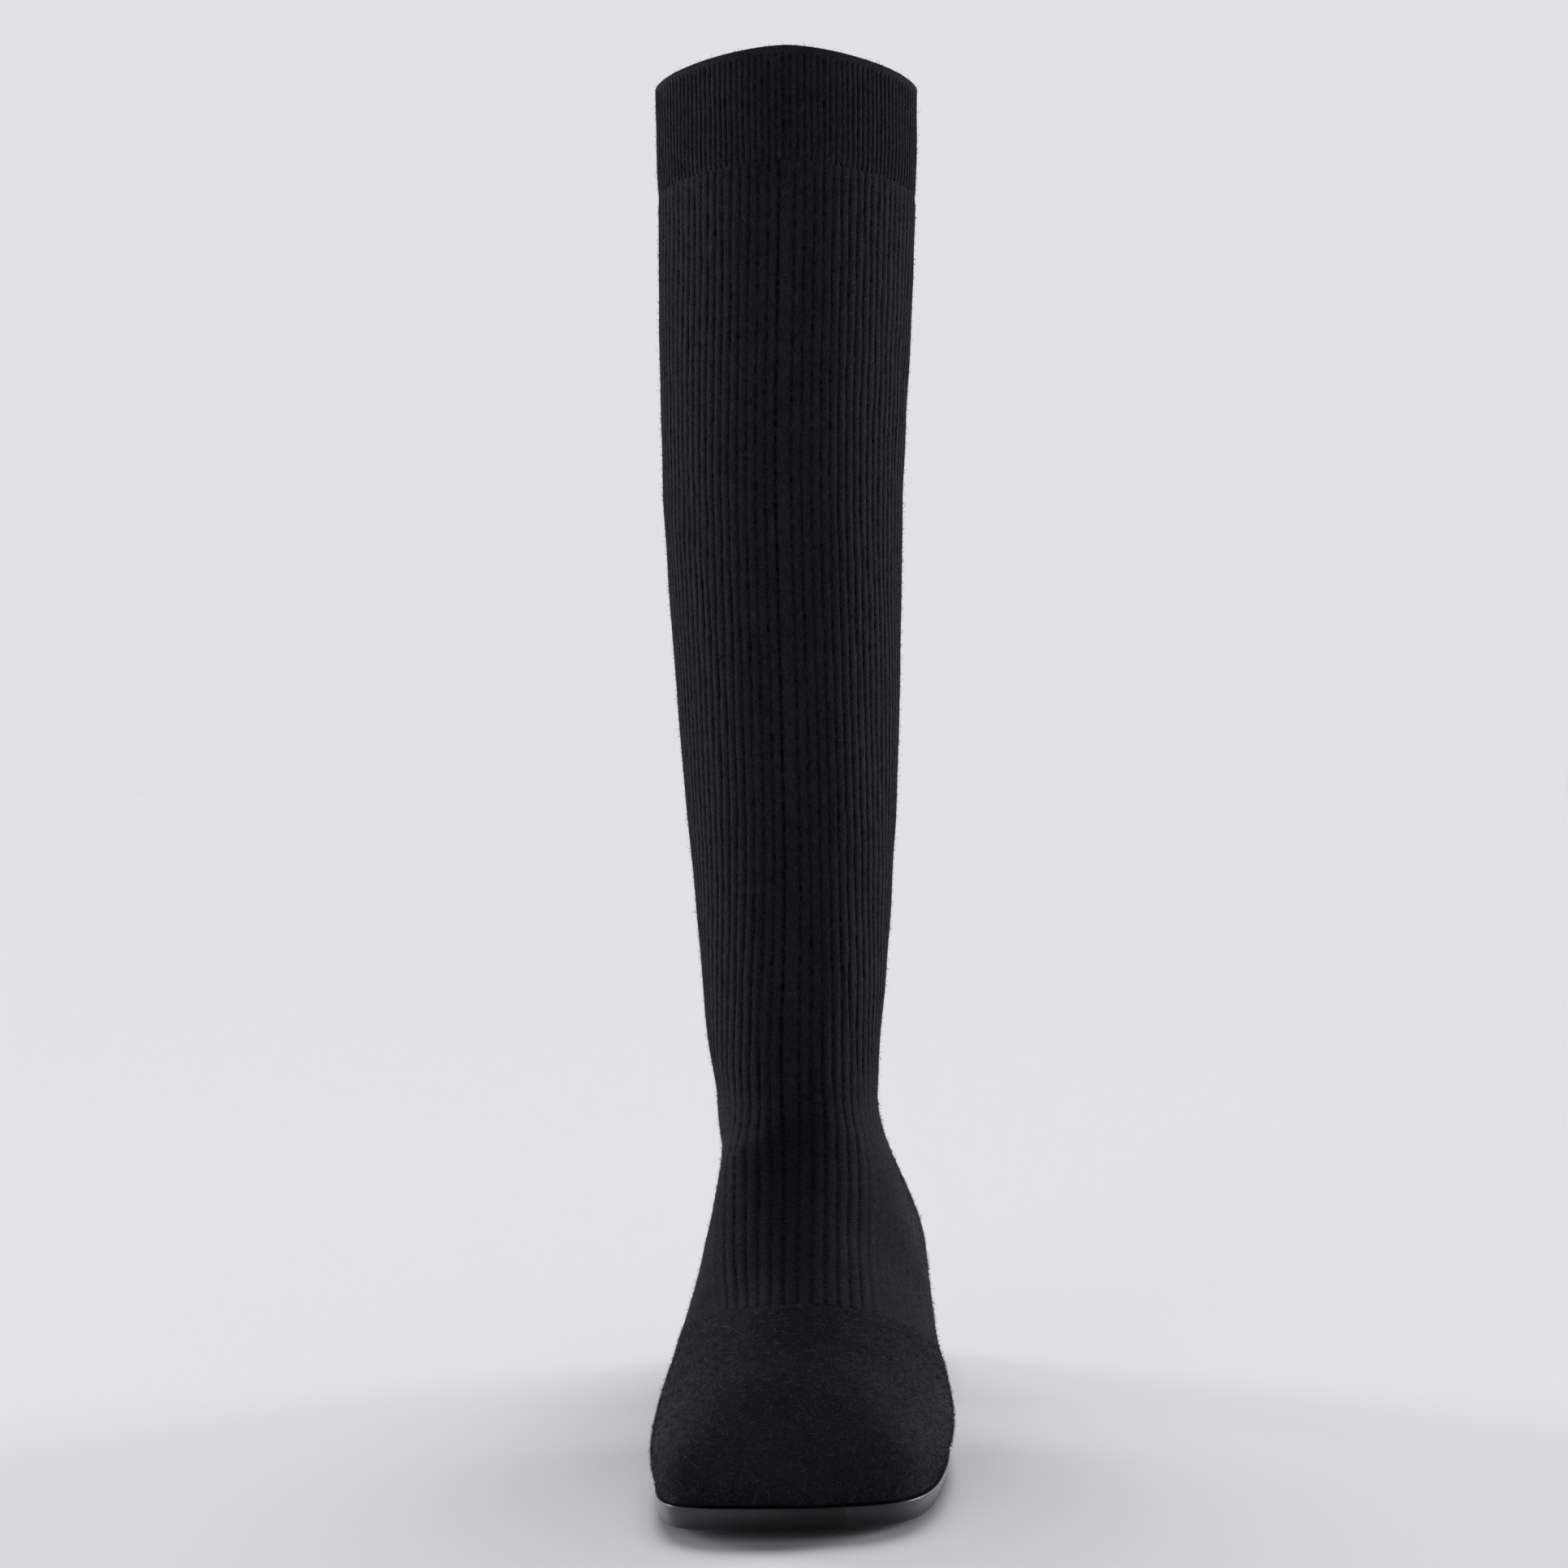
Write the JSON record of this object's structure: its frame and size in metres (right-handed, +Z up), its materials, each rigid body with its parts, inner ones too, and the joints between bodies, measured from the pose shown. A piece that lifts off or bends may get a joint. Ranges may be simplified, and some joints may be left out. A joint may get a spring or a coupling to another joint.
{
  "type": "sweater boot",
  "caption": "Black knitted knee-high sweater boot for a left foot, pull-on, with a ribbed shaft and cuff, a plain felted toe, a thin rubber sole and a low block heel.",
  "frame": {"origin": "on the floor under the middle of the boot's box", "axes": "+Z up the shaft, -Y towards the toe, +X towards the wearer's left, the outer side"},
  "size_m": [0.0946, 0.2492, 0.4425],
  "materials": {
    "knit": "matte",
    "sole_rubber": "satin",
    "insole_board": "matte",
    "heel_plastic": "satin",
    "heel_rubber": "matte"
  },
  "bodies": {
    "root": {"upper": "knit", "outsole": "sole_rubber", "insole": "insole_board", "heel_block": "heel_plastic", "heel_top_piece": "heel_rubber"}
  },
  "joints": []
}
